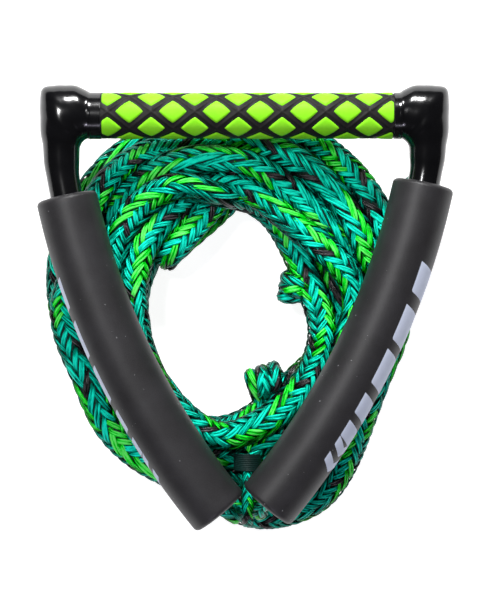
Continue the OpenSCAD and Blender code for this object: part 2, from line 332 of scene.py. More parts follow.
# How far the rope's flat side leans outwards at the coil's outer edge, beside 1 upwards.
LEAN = 0.75


def flat_sides(line):
    """The direction that the rope's flat side faces: up, leaning out or in, and rolling a little."""
    out, way = coil_distance(line)
    lean = np.clip(out / (COIL_W / 2), -1, 1)[:, None] * LEAN
    gone = np.arange(len(line)) * ROPE_STEP
    roll = 0.45 * np.sin(gone / 61.0) + 0.3 * np.sin(gone / 23.7 + 1.3)
    face = way * lean + np.array([0, 0, 1.0])
    along = unit(np.gradient(line, axis=0))
    face = unit(face - (face * along).sum(1)[:, None] * along)
    side = np.cross(along, face)
    return face * np.cos(roll)[:, None] + side * np.sin(roll)[:, None]


# --- Braid ----------------------------------------------------------------------------

# Across a carrier: how far each point of its two yarns stands from the middle, and how high.
YARN_PROFILE = (
    (-1.0, -1.3), (-0.84, 0.1), (-0.52, 0.75), (-0.2, 0.2), (0.0, -0.35), (0.2, 0.2), (0.52, 0.75),
    (0.84, 0.1), (1.0, -1.3),
)
# How many carriers of the other turn each one passes over, and then under.
OVER = 3
CORE_SIDES = 12
# A carrier's height, as a share of the rope's width and thickness together.
CARRIER_HIGH = 1 / 33.5
# In carrier heights: how high a carrier rises where it passes over, how high its yarns stand on it, and how
# far inside the rope's outline its middle and the core lie.
RISE = 0.85
YARN_RISE = 0.5
SUNK = 1.1
CORE_SUNK = 2.1
# A carrier dips under this many times as deep as it rises.
UNDER = 2.1
# How far a carrier wanders, as a share of its width, how wide it is at a crossing and how much wider on top.
WANDER = 0.24
NARROW = 0.70
WIDEN = 0.34
# The rope draws in to this share of its size over this length at its ends.
END_SIZE = 0.8
TAPER = 16


def across_line(line, faces):
    along = unit(np.gradient(line, axis=0))
    face = unit(faces - (faces * along).sum(1)[:, None] * along)
    return face, np.cross(along, face)


def carried(line, first):
    """Directions square to the line that start as given and don't twist about it."""
    along = unit(np.gradient(line, axis=0))
    out = [np.array(first, float)]
    for t in along:
        v = out[-1] - (out[-1] @ t) * t
        out.append(v / np.linalg.norm(v))
    return np.array(out[1:])


def strip_faces(rows, around, base, closed=False):
    i = np.arange(rows - 1)[:, None] * around + base
    k = np.arange(around if closed else around - 1)[None]
    nxt = (k + 1) % around
    return np.stack([i + k, i + nxt, i + around + nxt, i + around + k], -1).reshape(-1, 4)


class Braid:
    """Gathers the strips of a braid, with what its materials need to know at each point."""

    def __init__(self, line, faces, width, thick):
        self.line, self.width, self.thick = line, width, thick
        self.face, self.side = across_line(line, faces)
        self.gone = distances(line)
        self.high = (width + thick) * CARRIER_HIGH
        # The rope swells and thins a little along its length.
        ends = np.clip(np.minimum(self.gone, self.gone[-1] - self.gone) / TAPER, 0, 1)
        self.swell = 1 + 0.03 * np.sin(self.gone / 37) + 0.025 * np.sin(self.gone / 13.3 + 2)
        self.swell *= END_SIZE + (1 - END_SIZE) * ends
        self.verts, self.quads, self.colours, self.count = [], [], [], 0
        self.crest, self.sky, self.yarn = [], [], []

    def ring(self, angles, out):
        """Points round the rope's flat section, at angles about it and out from it."""
        rx = (self.width / 2 * self.swell)[:, None] + out
        rz = (self.thick / 2 * self.swell)[:, None] + out
        across = (np.cos(angles) * rx)[..., None] * self.side[:, None]
        return self.line[:, None] + across + (np.sin(angles) * rz)[..., None] * self.face[:, None]

    def open_to_sky(self, angles):
        """How far each point faces up: the sides of a turn lie in the shade of its neighbours."""
        c, s = np.cos(angles) / self.width, np.sin(angles) / self.thick
        rise = c * self.side[:, None, 2] + s * self.face[:, None, 2]
        return np.clip(rise / np.hypot(c, s), 0, 1)

    def add(self, angles, out, colour, crest, sky, yarn, closed=False):
        rows, around = angles.shape
        self.verts.append(self.ring(angles, out).reshape(-1, 3))
        self.quads.append(strip_faces(rows, around, self.count, closed))
        self.colours.append(np.full(len(self.quads[-1]), colour))
        self.crest.append(np.broadcast_to(crest, (rows, around)).ravel())
        self.sky.append(np.broadcast_to(sky, (rows, around)).ravel())
        self.yarn.append(yarn)
        self.count += rows * around

    def carrier(self, a, lift, colour, rng, carriers):
        """A carrier at angles a about the rope, which rises and dips by lift, from -1 to 1."""
        profile, gone = np.array(YARN_PROFILE), self.gone
        full = np.abs(lift) ** 0.6
        lift = np.sign(lift) * full
        lift = np.where(lift < 0, UNDER * lift, lift)
        half = math.pi / carriers
        wander = WANDER * np.sin(gone / rng.uniform(8, 15) + rng.uniform(0, 6))
        spread = (0.93 + 0.12 * np.sin(gone / rng.uniform(10, 30) + rng.uniform(0, 6))) * half
        spread *= NARROW + WIDEN * full
        angles = a[:, None] + wander[:, None] * half + profile[None, :, 0] * spread[:, None]
        ridges = profile[None, :, 1] * (0.3 + 0.7 * full[:, None])
        out = self.high * (RISE * lift[:, None] + YARN_RISE * ridges - SUNK)
        # Painted light and shade: the yarns' ridges and the stretches where the carrier passes over are
        # painted lighter, its grooves and the stretches where it dips under are painted shade.
        ridge_light = np.clip(0.72 + 0.45 * profile[None, :, 1], 0, 1)
        crest = (0.5 + 0.5 * np.clip(lift, -1, 1))[:, None] * ridge_light
        over = np.tile(profile[:, 0] * 0.5 + 0.5, len(gone))
        tone = np.full(len(over), rng.uniform(-1, 1))
        yarn = np.column_stack([over, np.repeat(gone, len(profile)), tone])
        self.add(angles, out, colour, crest, self.open_to_sky(angles), yarn)

    def core(self):
        """A dark core fills the rope, so nothing shows through between the carriers: it is painted shade,
        seen as the dark gaps between them.
        """
        angles = np.tile(np.arange(CORE_SIDES) / CORE_SIDES * 2 * math.pi, (len(self.line), 1))
        out = np.full(angles.shape, -CORE_SUNK * self.high)
        self.add(angles, out, CORE_SHADE, 0.0, 0.0, np.full((angles.size, 3), 0.5), closed=True)

    def mesh(self, name, materials):
        verts = np.vstack(self.verts)
        verts[:, 2] = np.maximum(verts[:, 2], FLOOR_GAP)
        obj = mesh_object(name, verts * MM, np.vstack(self.quads), materials, np.concatenate(self.colours))
        put_attribute(obj, "crest", np.concatenate(self.crest), "FLOAT")
        put_attribute(obj, "sky", np.concatenate(self.sky), "FLOAT")
        put_attribute(obj, "yarn", np.vstack(self.yarn), "FLOAT_VECTOR")
        return obj


def braid(name, line, faces, width, thick, lay, colours, materials, seed=7):
    """A hollow braid: as many carriers turn right as left, and each passes over OVER others, then under."""
    rope = Braid(line, faces, width, thick)
    gone = rope.gone
    # The braid turns and stretches a little along the rope, as in a rope that is often handled.
    twist = 1.1 * np.sin(gone / 60) + 0.4 * np.sin(gone / 31 + 1)
    laid = gone + 10 * np.sin(gone / 43) + 3.5 * np.sin(gone / 15 + 2)
    carriers = len(colours[1])
    rng = np.random.default_rng(seed)
    for turn in (1, -1):
        for k, colour in enumerate(colours[turn]):
            a = 2 * math.pi * (k / carriers + turn * laid / lay) + twist
            rope.carrier(a, turn * np.sin(carriers / OVER * a), colour, rng, carriers)
    rope.core()
    return rope.mesh(name, materials)


def fitted(piece, body, slot, *replaced):
    """Says which body the piece rides on and which CAD nodes it replaces; the slot is not used."""
    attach(piece, body)
    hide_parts(*replaced)
    return piece


def small_rope(name, points, first, diameter, materials, body, replaced, step=1.2):
    """A thinner braid of the same colours, along a smooth curve through points."""
    line = smooth_line(points, step)
    faces = carried(line, first)
    rope = braid(name, line, faces, diameter, diameter, SMALL_LAY * diameter, SMALL_COLOURS, materials)
    return fitted(rope, body, "rope_teal", replaced)


def whipping(name, start, end, diameter, material):
    """Waxed thread wound round a rope, turn beside turn."""
    start, end = np.array(start, float), np.array(end, float)
    length = np.linalg.norm(end - start)
    axis = (end - start) / length
    side = np.cross(axis, (0, 0, 1.0))
    up = np.cross(side, axis)
    turns = round(length / THREAD_D)
    t = np.linspace(0, 1, turns * THREAD_STEPS)
    a = 2 * math.pi * turns * t
    r = diameter / 2 - THREAD_D / 2
    radial = np.cos(a)[:, None] * side + np.sin(a)[:, None] * up
    line = start + np.outer(THREAD_D / 2 + t * (length - THREAD_D), axis) + r * radial
    face, across = across_line(line, radial)
    b = np.arange(THREAD_SIDES) / THREAD_SIDES * 2 * math.pi
    c, s = np.cos(b)[None, :, None], np.sin(b)[None, :, None]
    out = THREAD_D * THREAD_SPREAD * (c * across[:, None] + s * face[:, None])
    verts = (line[:, None] + out).reshape(-1, 3) * MM
    quads = strip_faces(len(line), THREAD_SIDES, 0, closed=True)
    piece = mesh_object(name, verts, quads, [material])
    return fitted(piece, "rope", "whipping", name.replace("_thread", ""))


def mesh_object(name, verts, faces, materials, indices=None):
    mesh = bpy.data.meshes.new(name)
    mesh.vertices.add(len(verts))
    mesh.vertices.foreach_set("co", np.asarray(verts, np.float32).ravel())
    faces = np.asarray(faces)
    mesh.loops.add(faces.size)
    mesh.loops.foreach_set("vertex_index", faces.ravel().astype(np.int32))
    mesh.polygons.add(len(faces))
    sides = faces.shape[1]
    mesh.polygons.foreach_set("loop_start", (np.arange(len(faces)) * sides).astype(np.int32))
    mesh.polygons.foreach_set("loop_total", np.full(len(faces), sides, np.int32))
    for m in materials:
        mesh.materials.append(m)
    if indices is not None:
        mesh.polygons.foreach_set("material_index", np.asarray(indices, np.int32))
    mesh.polygons.foreach_set("use_smooth", np.ones(len(faces), bool))
    mesh.update(calc_edges=True)
    mesh.validate()
    obj = bpy.data.objects.new(name, mesh)
    bpy.context.scene.collection.objects.link(obj)
    return obj


def put_attribute(obj, name, values, kind):
    layer = obj.data.attributes.new(name, kind, "POINT")
    field = "vector" if kind == "FLOAT_VECTOR" else "value"
    layer.data.foreach_set(field, np.asarray(values, np.float32).ravel())


# --- Materials ------------------------------------------------------------------------


class Nodes:
    """A short way to build a node material."""

    def __init__(self, name):
        self.material = bpy.data.materials.new(name)
        self.material.use_nodes = True
        self.tree = self.material.node_tree
        self.shader = self.tree.nodes["Principled BSDF"]

    def feed(self, node, key, value):
        socket = node.inputs[key if isinstance(key, int) else key.replace("_", " ")]
        if isinstance(value, bpy.types.NodeSocket):
            self.tree.links.new(value, socket)
        else:
            socket.default_value = value

    def math(self, operation, a, b=0.0, c=0.0):
        node = self.tree.nodes.new("ShaderNodeMath")
        node.operation = operation
        for i, value in enumerate((a, b, c)):
            self.feed(node, i, value)
        return node.outputs[0]

    def attribute(self, name, output="Fac"):
        node = self.tree.nodes.new("ShaderNodeAttribute")
        node.attribute_name = name
        return node.outputs[output]

    def noise(self, vector, scale, detail=3.0, rough=0.6):
        node = self.tree.nodes.new("ShaderNodeTexNoise")
        self.feed(node, "Vector", vector)
        node.inputs["Scale"].default_value = scale
        node.inputs["Detail"].default_value = detail
        node.inputs["Roughness"].default_value = rough
        return node.outputs[0]

    def place(self, stretch=(1, 1, 1)):
        """Object coordinates in metres, stretched."""
        coordinates = self.tree.nodes.new("ShaderNodeTexCoord").outputs["Object"]
        node = self.tree.nodes.new("ShaderNodeMapping")
        self.feed(node, "Vector", coordinates)
        node.inputs["Scale"].default_value = stretch
        return node.outputs[0]

    def ramp(self, value, stops):
        node = self.tree.nodes.new("ShaderNodeValToRGB")
        self.feed(node, 0, value)
        elements = node.color_ramp.elements
        while len(elements) < len(stops):
            elements.new(0.5)
        for element, (at, colour) in zip(elements, stops):
            element.position = at
            element.color = (*colour, 1)
        return node.outputs[0]

    def bump(self, height, strength, distance):
        node = self.tree.nodes.new("ShaderNodeBump")
        self.feed(node, "Height", height)
        node.inputs["Strength"].default_value = strength
        node.inputs["Distance"].default_value = distance
        self.feed(self.shader, "Normal", node.outputs[0])

    def set(self, **sockets):
        for key, value in sockets.items():
            self.feed(self.shader, key, value)
        return self.material


def yarn_material(name, dark, mid, light, glint, shine, tint):
    """Shiny filaments: streaks along the yarn, partly the filaments' own tone and partly painted glints;
    painted highlight on top and on its crests, painted shade where it dips under and on the sides of each
    turn.
    """
    n = Nodes(name)
    split = n.tree.nodes.new("ShaderNodeSeparateXYZ")
    n.feed(split, 0, n.attribute("yarn", "Vector"))
    across, gone, tone = split.outputs
    put = n.tree.nodes.new("ShaderNodeCombineXYZ")
    n.feed(put, 0, n.math("MULTIPLY", across, 5.0))
    n.feed(put, 1, n.math("MULTIPLY", gone, 0.11))
    n.feed(put, 2, n.math("MULTIPLY", tone, 7.0))
    streak = n.noise(put.outputs[0], 1.0, 4.0, 0.7)
    blotch = n.noise(n.place(), 55.0, 2.0)
    # Painted light: the streaks and the crests push the colour up the ramp to its light and glint stops,
    # which are painted highlights.
    value = n.math("MULTIPLY_ADD", streak, 3.6, n.math("MULTIPLY", n.attribute("crest"), 0.85))
    value = n.math("ADD", value, n.math("MULTIPLY_ADD", blotch, 0.9, -2.20))
    value = n.math("ADD", value, n.math("MULTIPLY", tone, 0.10))
    # Painted shade: points that face sideways go dark, and those that face up stay light.
    value = n.math("ADD", value, n.math("MULTIPLY_ADD", n.attribute("sky"), 1.15, -1.02))
    colour = n.ramp(value, ((0.10, dark), (0.40, mid), (0.70, light), (0.93, glint)))
    n.bump(streak, 0.8, 0.0006)
    return n.set(Base_Color=colour, Roughness=0.27, Specular_IOR_Level=shine, Specular_Tint=(*tint, 1))


def rope_materials():
    return [
        yarn_material(
            "rope_teal", (0.0, 0.006, 0.005), (0.0, 0.20, 0.13), (0.0, 0.44, 0.295), (0.01, 0.90, 0.66),
            1.0, (0.0, 1.0, 0.70),
        ),
        yarn_material(
            "rope_neon", (0.0, 0.04, 0.0), (0.0, 0.55, 0.0), (0.0, 0.86, 0.03), (0.15, 0.98, 0.16),
            1.0, (0.06, 1.0, 0.16),
        ),
        yarn_material(
            "rope_black", (0.001, 0.001, 0.001), (0.003, 0.003, 0.003), (0.010, 0.009, 0.010),
            (0.06, 0.055, 0.06), 0.3, (1.0, 1.0, 1.0),
        ),
        core_shade_material(),
    ]


def core_shade_material():
    n = Nodes("rope_core_shade")
    # Painted shade: the core's near-black teal stands for the shade in the gaps between the carriers.
    colour = n.ramp(n.noise(n.place(), 900.0), ((0.3, (0.001, 0.012, 0.01)), (0.7, (0.002, 0.03, 0.025))))
    return n.set(Base_Color=colour, Roughness=0.8)


# --- Camera, light and floor ----------------------------------------------------------

# In millimetres: where the camera looks straight down, how much of the handle's plane it sees across the
# picture's longer side, and how far above that plane it stands.
VIEW_CENTRE = (-2.8, 11.8)
VIEW_HIGH = 372
EYE_ABOVE = 1200
FILM = 36
# In metres: half the floor's side, and how far the camera sees.
FLOOR_HALF = 8
SIGHT = 40


def camera():
    data = bpy.data.cameras.new("camera")
    data.sensor_width = FILM
    data.lens = FILM * EYE_ABOVE / VIEW_HIGH
    data.clip_end = SIGHT
    cam = bpy.data.objects.new("camera", data)
    cam.location = (VIEW_CENTRE[0] * MM, VIEW_CENTRE[1] * MM, (HANDLE_Z + EYE_ABOVE) * MM)
    bpy.context.scene.collection.objects.link(cam)
    bpy.context.scene.camera = cam


def area_light(name, at, size, watts, mirrored=False, colour=(1, 1, 1)):
    """A softbox that faces the object. Only a mirrored one shows in glossy surfaces."""
    data = bpy.data.lights.new(name, "AREA")
    data.shape = "RECTANGLE"
    data.size, data.size_y = size
    data.energy = watts
    data.color = colour
    lamp = bpy.data.objects.new(name, data)
    lamp.location = at
    lamp.rotation_euler = Vector(at).to_track_quat("Z", "Y").to_euler()
    lamp.visible_glossy = mirrored
    bpy.context.scene.collection.objects.link(lamp)


def studio():
    world = bpy.data.worlds.new("studio")
    bpy.context.scene.world = world
    world.use_nodes = True
    background = world.node_tree.nodes["Background"]
    background.inputs["Color"].default_value = (1, 1, 1, 1)
    background.inputs["Strength"].default_value = 0.03
    area_light("left", (-0.95, 0.35, 0.75), (0.5, 0.5), 1.6)
    area_light("right", (0.95, 0.45, 0.75), (0.5, 0.5), 2.6)
    area_light("near", (0, -1.0, 0.9), (0.3, 0.12), 3.4, mirrored=True, colour=(0.86, 0.82, 1.0))
    area_light("far", (0, 0.95, 0.7), (0.2, 0.18), 15.5, mirrored=True)
    area_light("above", (-0.35, 0.3, 1.1), (0.14, 0.14), 6.0, mirrored=True)
    floor()
    bpy.context.scene.view_settings.view_transform = "Standard"


def floor():
    """A pale floor that glows a little, so that it looks as white as the photo's background."""
    n = Nodes("floor")
    colour = n.ramp(n.noise(n.place(), 3.0), ((0.3, (0.5, 0.5, 0.5)), (0.7, (0.54, 0.54, 0.54))))
    n.set(Base_Color=colour, Roughness=0.9, Emission_Color=(1, 1, 1, 1), Emission_Strength=0.9)
    corners = [(x * FLOOR_HALF, y * FLOOR_HALF, 0) for x, y in ((-1, -1), (1, -1), (1, 1), (-1, 1))]
    return mesh_object("floor", np.array(corners, float), [[0, 1, 2, 3]], [n.material])


# --- The rope's pieces ----------------------------------------------------------------

# The places of the colours in rope_materials().
TEAL, NEON, BLACK, CORE_SHADE = range(4)
# The carriers' colours: 1 for those that turn right round the rope, and -1 for those that turn left.
ROPE_COLOURS = {
    1: [NEON] * 3 + [TEAL] * 4 + [BLACK] + [TEAL] * 4,
    -1: [TEAL] * 5 + [BLACK] + [TEAL] * 3 + [NEON] * 3,
}
SMALL_COLOURS = {1: [NEON] * 2 + [TEAL] * 4, -1: [TEAL] * 5 + [BLACK]}
# The lay length of the thinner braids, in diameters.
SMALL_LAY = 4.4
FOLD_W = 18
FOLD_T = 12
THREAD_D = 1.3
THREAD_STEPS = 28
THREAD_SIDES = 8
# The thread's radius, in diameters: its turns press into each other a little.
THREAD_SPREAD = 0.56


def main_rope(materials):
    line = rope_line()
    rope = braid("rope", line, flat_sides(line), ROPE_W, ROPE_T, LAY_LENGTH, ROPE_COLOURS, materials)
    return fitted(rope, "rope", "rope_teal", "rope_coil", "rope_lead", "rope_tail"), line


def bight(materials):
    """The flatter stretch of the main rope that is folded into the coil's hole."""
    line = smooth_line(seen_from_above(FOLD), ROPE_STEP)
    faces = carried(line, (0, 0, 1))
    fold = braid("bight_braid", line, faces, FOLD_W, FOLD_T, LAY_LENGTH, ROPE_COLOURS, materials, seed=3)
    return fitted(fold, "rope", "rope_teal", "rope_bight")


# --- Sweeps ---------------------------------------------------------------------------


def leg_radius(leg):
    return (ELBOW_Y - leg["top"][1]) / math.sin(math.radians(leg["lean"]))


def leg_x(leg):
    return leg["top"][0] + leg_radius(leg) * (1 - math.cos(math.radians(leg["lean"])))


def on_elbow(leg, degrees):
    a = math.radians(degrees)
    return leg_x(leg) - ELBOW_R + ELBOW_R * math.cos(a), ELBOW_Y + ELBOW_R * math.sin(a)


def on_leg(leg, lean):
    a, r = math.radians(lean), leg_radius(leg)
    return leg_x(leg) - r * (1 - math.cos(a)), ELBOW_Y - r * math.sin(a)


def float_point(leg, down):
    a0 = math.radians(leg["lean"])
    a = a0 + down / FLOAT_R
    x, y = leg["top"]
    return x + FLOAT_R * (math.cos(a) - math.cos(a0)), y - FLOAT_R * (math.sin(a) - math.sin(a0))


def swept(name, centres, headings, radii, around, materials, closed=False, highs=None):
    """Rings square to headings in the handle's plane, joined last to first if closed.

    They reach radii out from their centres, and highs up and down where these are given.
    """
    c, h, r = (np.array(v, float) for v in (centres, headings, radii))
    tall = r if highs is None else np.array(highs, float)
    a = np.arange(around) / around * 2 * math.pi
    out = r[:, None] * np.cos(a)
    x = c[:, :1] - out * np.sin(h)[:, None]
    y = c[:, 1:2] + out * np.cos(h)[:, None]
    z = HANDLE_Z + tall[:, None] * np.sin(a)
    verts = np.stack([x, y, z], -1).reshape(-1, 3)
    rings = len(c) + 1 if closed else len(c)
    faces = strip_faces(rings, around, 0, closed=True) % len(verts)
    return mesh_object(name, verts * MM, faces, materials)


def curve_through(rows, count):
    """Rows of numbers, joined by a smooth curve through all of them."""
    p = with_ends(rows)
    t = np.linspace(0, 1, count, endpoint=False)[:, None]
    out = []
    for a, b, c, d in zip(p, p[1:], p[2:], p[3:]):
        square, cube = 2 * a - 5 * b + 4 * c - d, 3 * b - a - 3 * c + d
        out.append(0.5 * (2 * b + (c - a) * t + square * t**2 + cube * t**3))
    return np.vstack(out + [p[-2:-1]])


# --- Handle ---------------------------------------------------------------------------


# The boot's first rings lap over the collar: how far, and how wide they are.
BOOT_LAP = ((2, 29.1), (0.8, 29.3))
# The elbow's rings stand on rays from the centre of its inner fillet: the ray's angle, how far out its
# outer end is, and the ring's thickness across the handle's plane.
FILLET_AT = (94.8, 105)
FILLET_R = 7.3
ELBOW_RAYS = (
    (84, 37.4, 28), (76, 41, 29), (68, 43.2, 30), (60, 46, 31), (51, 48.6, 31.5), (41, 42.6, 31),
    (31, 37.3, 28.5), (18, 33.4, 26), (5, 30.5, 24),
)
BOOT_SIDES = 56
FLOAT_SIDES = 72


def boot_rows(leg):
    """The boot's rings on a leg to the right: x, y, heading in degrees, width and thickness."""
    lean = leg["lean"]
    rows = [(leg["face"] - lap, BAR_Y, 0, d, d) for lap, d in BOOT_LAP]
    for angle, far, tall in ELBOW_RAYS:
        a, r = math.radians(angle), (far + FILLET_R) / 2
        x, y = FILLET_AT[0] + r * math.cos(a), FILLET_AT[1] + r * math.sin(a)
        rows.append((x, y, angle - 90, far - FILLET_R, tall))
    for f, t in LEG_RINGS:
        d = BOOT_LEG_D + t * (BOOT_END_D - BOOT_LEG_D)
        rows.append((*on_leg(leg, lean * f), -90 - lean * f, d, d))
    for s in (0.5 * BOOT_IN_FLOAT, BOOT_IN_FLOAT):
        rows.append((*float_point(leg, s), -90 - lean - math.degrees(s / FLOAT_R), BOOT_END_D, BOOT_END_D))
    return rows


def boot(side, leg, material):
    """A moulded elbow on the bridle: a round-cornered block over the bend, and a tapered leg in the float."""
    fine = curve_through(boot_rows(leg), 10)
    fine[:, 0] *= leg["side"]
    heading = np.radians(fine[:, 2])
    if leg["side"] < 0:
        heading = math.pi - heading
    radii, highs = fine[:, 3] / 2, fine[:, 4] / 2
    piece = swept(f"boot_{side}_moulded", fine[:, :2], heading, radii, BOOT_SIDES, [material], highs=highs)
    fitted(piece, "handle", "boot_black", f"boot_{side}")


# The foam's rounded rim: its radius, how far from the float's end it starts, and how much it is squashed.
RIM = 3.2
RIM_FROM = 0.42
RIM_SQUASH = 0.92
RIM_STEPS = 9
OUTSIDE_STEPS = 70
BORE_STEPS = 24
# Start and end of each printed mark, in millimetres down the float.
STRAIGHT_BARS = ((46, 67), (73, 98), (102, 127), (132, 147), (151, 163))
CHEVRONS = ((168, 175), (179, 186))
# How far down the float a bar's outer end lies from its inner end, and a chevron's point from its ends.
BAR_LEAN = 6
CHEVRON_POINT = 6
PRINT_STEPS = 13
# The print stands proud of the foam, and its outline goes into it.
PRINT_PROUD = 0.12
PRINT_SUNK = 0.15


def float_profile(length):
    """(distance down the float, radius) round the foam's wall: bore, lower end, outside, upper end."""
    outer, bore = FLOAT_D / 2, FLOAT_BORE / 2
    end = [(0.9, bore), (0.15, bore + 0.9), (0, bore + 2)]
    end += [
        (RIM_FROM + RIM * (1 - math.cos(a)) * RIM_SQUASH, outer - RIM * (1 - math.sin(a)))
        for a in np.linspace(0.12, math.pi / 2, RIM_STEPS)
    ]
    far = [(length - d, r) for d, r in reversed(end)]
    outside = [(d, outer) for d in np.linspace(RIM + 3, length - RIM - 3, OUTSIDE_STEPS)]
    return end + outside + far + [(d, bore) for d in np.linspace(length - 8, 8, BORE_STEPS)]


def foam_float(side, leg, material, body):
    lean = math.radians(leg["lean"])
    profile = float_profile(leg["length"])
    centres = np.array([float_point(leg, d) for d, _ in profile])
    centres[:, 0] *= leg["side"]
    heading = np.array([-math.pi / 2 - lean - d / FLOAT_R for d, _ in profile])
    if leg["side"] < 0:
        heading = math.pi - heading
    radii = [r for _, r in profile]
    piece = swept(f"float_{side}_foam", centres, heading, radii, FLOAT_SIDES, [material], closed=True)
    fitted(piece, body, "float_foam", f"float_{side}")


def float_print(side, leg, material, body):
    """Plain slanted bars and two chevrons along the float's outer flank."""
    low, high = leg["print"]
    g = np.linspace(0, 1, PRINT_STEPS)
    u, v = np.meshgrid(g, g, indexing="ij")
    edge = np.minimum(np.minimum(u, 1 - u), np.minimum(v, 1 - v))
    verts, faces = [], []
    marks = [(bar, BAR_LEAN * v) for bar in STRAIGHT_BARS]
    marks += [(bar, -CHEVRON_POINT * np.abs(2 * v - 1)) for bar in CHEVRONS]
    for (start, end), shift in marks:
        s = start + u * (end - start) + shift
        angle = np.radians(low + v * (high - low))
        r = FLOAT_D / 2 + np.where(edge > 0, PRINT_PROUD, -PRINT_SUNK)
        points = np.array([float_point(leg, d) for d in s.ravel()])
        heading = -math.pi / 2 - math.radians(leg["lean"]) - s.ravel() / FLOAT_R
        out = (r * np.sin(angle)).ravel()
        x = leg["side"] * (points[:, 0] - out * np.sin(heading))
        y = points[:, 1] + out * np.cos(heading)
        z = HANDLE_Z + (r * np.cos(angle)).ravel()
        faces.append(strip_faces(len(g), len(g), len(verts) * g.size**2))
        verts.append(np.column_stack([x, y, z]))
    piece = mesh_object(f"float_{side}_print", np.vstack(verts) * MM, np.vstack(faces), [material])
    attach(piece, body)


def foam_material():
    n = Nodes("float_foam")
    grain = n.noise(n.place(), 1600.0, 2.0)
    soft = n.noise(n.place((1, 1, 0.6)), 38.0, 3.0)
    dust = n.noise(n.place(), 620.0, 0.0)
    value = n.math("MULTIPLY_ADD", soft, 0.5, n.math("MULTIPLY", grain, 0.3))
    colour = n.ramp(value, ((0.25, (0.013, 0.012, 0.013)), (0.6, (0.030, 0.029, 0.032))))
    mix = n.tree.nodes.new("ShaderNodeMix")
    mix.data_type = "RGBA"
    n.feed(mix, 0, n.math("GREATER_THAN", dust, 0.875))
    n.feed(mix, 6, colour)
    n.feed(mix, 7, (0.2, 0.2, 0.21, 1))
    n.bump(n.math("MULTIPLY_ADD", grain, 0.6, n.math("MULTIPLY", soft, 0.6)), 0.35, 0.0004)
    return n.set(Base_Color=mix.outputs[2], Roughness=0.48, Specular_IOR_Level=0.4)


def gloss_material(name, colour):
    n = Nodes(name)
    smear = n.noise(n.place(), 60.0, 3.0)
    tint = tuple(1.5 * c for c in colour)
    n.bump(n.noise(n.place(), 420.0, 2.0), 0.05, 0.0003)
    return n.set(
        Base_Color=n.ramp(smear, ((0.3, colour), (0.7, tint))),
        Roughness=n.math("MULTIPLY_ADD", smear, 0.12, 0.12),
        Specular_IOR_Level=0.35, Coat_Weight=0.3, Coat_Roughness=0.1,
    )


def metal_material():
    n = Nodes("bar_metal")
    brushed = n.noise(n.place((0.05, 1, 1)), 900.0, 3.0)
    n.bump(brushed, 0.1, 0.0002)
    return n.set(
        Base_Color=n.ramp(brushed, ((0.3, (0.55, 0.56, 0.58)), (0.7, (0.75, 0.76, 0.78)))),
        Metallic=1.0, Roughness=0.32,
    )


# --- Grip -----------------------------------------------------------------------------

PAD_PITCH = 26.8
PAD_SIZE = (19.2, 17.8)
PAD_PHASE = -70.8
PAD_ROWS = 8
PAD_TURN = math.radians(-6.3)
PAD_PROUD = 0.8
PADS_A_ROW = 8
PAD_STEPS = 15
# The rounded corners draw the pads in, so they are laid out this much larger, along and around the grip.
PAD_GROWN = (1.04, 1.02)
# How much a pad's corners and edges are rounded, how deep its outline goes, how far its middle bulges, and
# how far from the grip's ends it is cut off.
PAD_CORNER = 0.10
PAD_EDGE = 0.30
PAD_SUNK = 0.55
PAD_CROWN = 0.25
PAD_GAP = 0.8
# The rubber's mesh, along and around, its ridges, and how far inside the pads' faces and the ends it lies.
SLEEVE_STEPS = (300, 160)
RIDGE_HIGH = 0.55
RIDGE_W = 0.045
SLEEVE_SUNK = 0.1
SLEEVE_GAP = 0.05


def on_grip(x, angle, r):
    """A point on the grip: angle from straight up, turning away from the bar's far side."""
    return np.stack([x, BAR_Y - r * np.sin(angle), HANDLE_Z + r * np.cos(angle)], -1)


def pad_shape():
    """One diamond from -1 to 1 each way: its points along and around the grip, and how high each stands."""
    g = np.linspace(-1, 1, PAD_STEPS)
    u, v = np.meshgrid(g, g, indexing="ij")
    x, y = (u + v) / 2, (u - v) / 2
    round_off = 1 - PAD_CORNER * (np.abs(x) ** 4 + np.abs(y) ** 4)
    edge = np.clip(1 - np.maximum(np.abs(u), np.abs(v)), 0, 1)
    rounded = PAD_PROUD * (1 - (1 - np.clip(edge / PAD_EDGE, 0, 1)) ** 2.2)
    high = np.where(edge <= 0, -PAD_SUNK, rounded) + PAD_CROWN * (1 - u**2) * (1 - v**2) - PAD_CROWN
    return x * round_off, y * round_off, high


def grip_pads(material):
    """Soft diamonds, staggered row by row and cut straight at the grip's ends."""
    x, y, high = pad_shape()
    verts, faces = [], []
    r = GRIP_D / 2
    low, top = GRIP_ENDS[0] + PAD_GAP, GRIP_ENDS[1] - PAD_GAP
    for row in range(PAD_ROWS):
        for k in range(-1, PADS_A_ROW):
            middle = PAD_PHASE + (k + row % 2 / 2) * PAD_PITCH
            px = middle + x * PAD_SIZE[0] / 2 * PAD_GROWN[0]
            if px.min() > top - 1 or px.max() < low + 1:
                continue
            a = PAD_TURN + row * 2 * math.pi / PAD_ROWS + y * PAD_SIZE[1] / 2 / r * PAD_GROWN[1]
            faces.append(strip_faces(PAD_STEPS, PAD_STEPS, len(verts) * PAD_STEPS**2)[:, (0, 3, 2, 1)])
            verts.append(on_grip(np.clip(px, low, top), a, r - PAD_PROUD + high).reshape(-1, 3))
    piece = mesh_object("grip_diamonds", np.vstack(verts) * MM, np.vstack(faces), [material])
    fitted(piece, "handle", "grip_green", "grip_pads")


